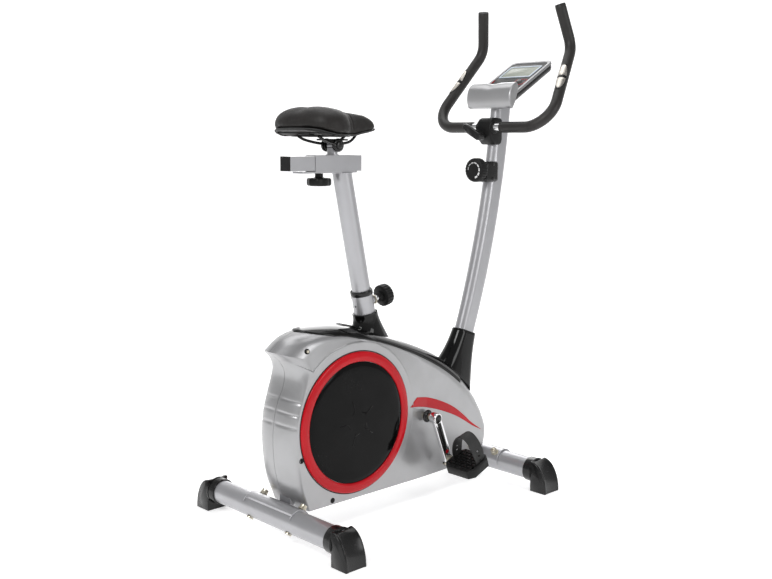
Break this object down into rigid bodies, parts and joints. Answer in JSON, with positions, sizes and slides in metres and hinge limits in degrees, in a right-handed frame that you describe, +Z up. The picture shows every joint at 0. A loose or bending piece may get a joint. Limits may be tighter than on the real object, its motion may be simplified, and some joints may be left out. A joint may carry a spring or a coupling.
{
  "type": "exercise bike",
  "caption": "Upright exercise bike with enclosed flywheel drive, adjustable saddle, curved handlebars with pulse sensors and a small console.",
  "frame": {"origin": "on the floor, under the middle of the overall length and width", "axes": "+X the way the rider faces, +Y the rider's left, +Z up"},
  "size_m": [1.0045, 0.596, 1.3408],
  "materials": {
    "silver_paint": "gloss silver lacquer",
    "silver_plastic": "satin metallic silver",
    "gloss_black": "gloss",
    "red_gloss": "gloss",
    "black_plastic": "fine grained",
    "zinc": "zinc plated",
    "chrome": "polished",
    "cast_iron": "turned",
    "rubber": "matte",
    "foam": "closed cell foam",
    "vinyl": "grained vinyl",
    "sensor_steel": "satin",
    "display": "clear",
    "grey_button": "satin"
  },
  "bodies": {
    "frame": {"bearings": "zinc", "casing_left": "silver_plastic", "casing_right": "silver_plastic", "casing_screws": "zinc", "console_apron": "silver_plastic", "console_bezel": "silver_plastic", "console_shell": "black_plastic", "crank_collars": "black_plastic", "disc_cover_left": "gloss_black", "disc_cover_right": "gloss_black", "disc_ring_left": "red_gloss", "disc_ring_right": "red_gloss", "drive_belt": "rubber", "flywheel_axle": "zinc", "frame_bolts": "zinc", "front_foot_left": "black_plastic", "front_foot_right": "black_plastic", "front_post": "silver_paint", "front_post_boot": "gloss_black", "front_stabilizer_tube": "silver_paint", "handlebar_clamp": "black_plastic", "lcd_window": "display", "main_frame": "silver_paint", "rear_foot_left": "black_plastic", "rear_foot_right": "black_plastic", "rear_stabilizer_tube": "silver_paint", "seat_tube_boot": "gloss_black", "seat_tube_bushing": "black_plastic", "speed_sensor": "black_plastic", "tension_cable": "rubber", "tension_housing": "black_plastic", "top_cover": "gloss_black"},
    "crank_set": {"crank_and_pedal_axles": "zinc", "crank_caps": "black_plastic", "drive_pulley": "black_plastic", "crank_arm_right": "chrome", "crank_arm_left": "chrome"},
    "right_pedal": {"pedal_right": "black_plastic", "pedal_strap_right": "rubber"},
    "left_pedal": {"pedal_left": "black_plastic", "pedal_strap_left": "rubber"},
    "flywheel_set": {"flywheel": "cast_iron"},
    "brake_arm": {"magnet_bracket": "zinc"},
    "dial": {"tension_dial": "black_plastic"},
    "seat_column": {"seat_post": "silver_paint", "slider_sleeve": "silver_paint"},
    "seat_carriage": {"slider_tube": "silver_paint", "slider_end_caps": "black_plastic"},
    "saddle": {"saddle_pad": "vinyl", "saddle_base": "black_plastic", "saddle_clamp": "black_plastic"},
    "pin_knob": {"seat_pin_knob": "black_plastic"},
    "carriage_knob": {"slider_knob": "black_plastic"},
    "handlebars": {"handlebar_tube": "chrome", "foam_grip_right": "foam", "foam_grip_left": "foam", "pulse_sensors": "sensor_steel", "bar_end_caps": "black_plastic"},
    "lever": {"clamp_lever": "black_plastic"},
    "button": {"mode_button": "grey_button"}
  },
  "joints": [
    {"name": "crank_spin", "type": "hinge", "parent": "frame", "child": "crank_set", "pos_m": [-0.002, 0, 0.228], "axis": [0, 1, 0], "continuous": true},
    {"name": "right_pedal_spin", "type": "hinge", "parent": "crank_set", "child": "right_pedal", "pos_m": [0.04632, 0, 0.10839], "axis": [0, 1, 0], "continuous": true},
    {"name": "left_pedal_spin", "type": "hinge", "parent": "crank_set", "child": "left_pedal", "pos_m": [-0.05032, 0, 0.34761], "axis": [0, 1, 0], "continuous": true},
    {"name": "flywheel_spin", "type": "hinge", "parent": "frame", "child": "flywheel_set", "pos_m": [-0.259, 0, 0.259], "axis": [0, 1, 0], "continuous": true},
    {"name": "tension_dial_turn", "type": "hinge", "parent": "frame", "child": "dial", "pos_m": [0.256, 0, 0.878], "axis": [1, 0, 0], "range_deg": [0, 280]},
    {"name": "brake_arm_swing", "type": "hinge", "parent": "frame", "child": "brake_arm", "pos_m": [-0.375, 0, 0.326], "axis": [0, 1, 0], "range_deg": [0, 5]},
    {"name": "seat_height", "type": "slide", "parent": "frame", "child": "seat_column", "axis": [-0.2113, 0, 0.9774], "range_m": [-0.2, 0.05]},
    {"name": "seat_fore_aft", "type": "slide", "parent": "seat_column", "child": "seat_carriage", "axis": [1, 0, 0], "range_m": [-0.06, 0.05]},
    {"name": "saddle_tilt", "type": "hinge", "parent": "seat_carriage", "child": "saddle", "pos_m": [-0.276, 0, 0.946], "axis": [0, 1, 0], "range_deg": [-10, 10]},
    {"name": "seat_pin_pull", "type": "slide", "parent": "frame", "child": "pin_knob", "axis": [0.9774, 0, 0.2113], "range_m": [0, 0.012], "stiffness_N_per_m": 700},
    {"name": "carriage_knob_turn", "type": "hinge", "parent": "seat_column", "child": "carriage_knob", "pos_m": [-0.319, 0, 0.856], "axis": [0, 0, 1], "range_deg": [-180, 180]},
    {"name": "handlebar_tilt", "type": "hinge", "parent": "frame", "child": "handlebars", "pos_m": [0.302, 0, 0.997], "axis": [0, 1, 0], "range_deg": [-20, 15]},
    {"name": "clamp_lever_turn", "type": "hinge", "parent": "frame", "child": "lever", "pos_m": [0.268, 0, 0.972], "axis": [1, 0, 0], "range_deg": [-75, 60]},
    {"name": "mode_button_press", "type": "slide", "parent": "frame", "child": "button", "axis": [0.5, 0, -0.866], "range_m": [0, 0.0012], "stiffness_N_per_m": 800}
  ],
  "couplings": [
    {"joint": "flywheel_spin", "follows": "crank_spin", "ratio": 4.333},
    {"joint": "brake_arm_swing", "follows": "tension_dial_turn", "ratio": 0.017857}
  ]
}
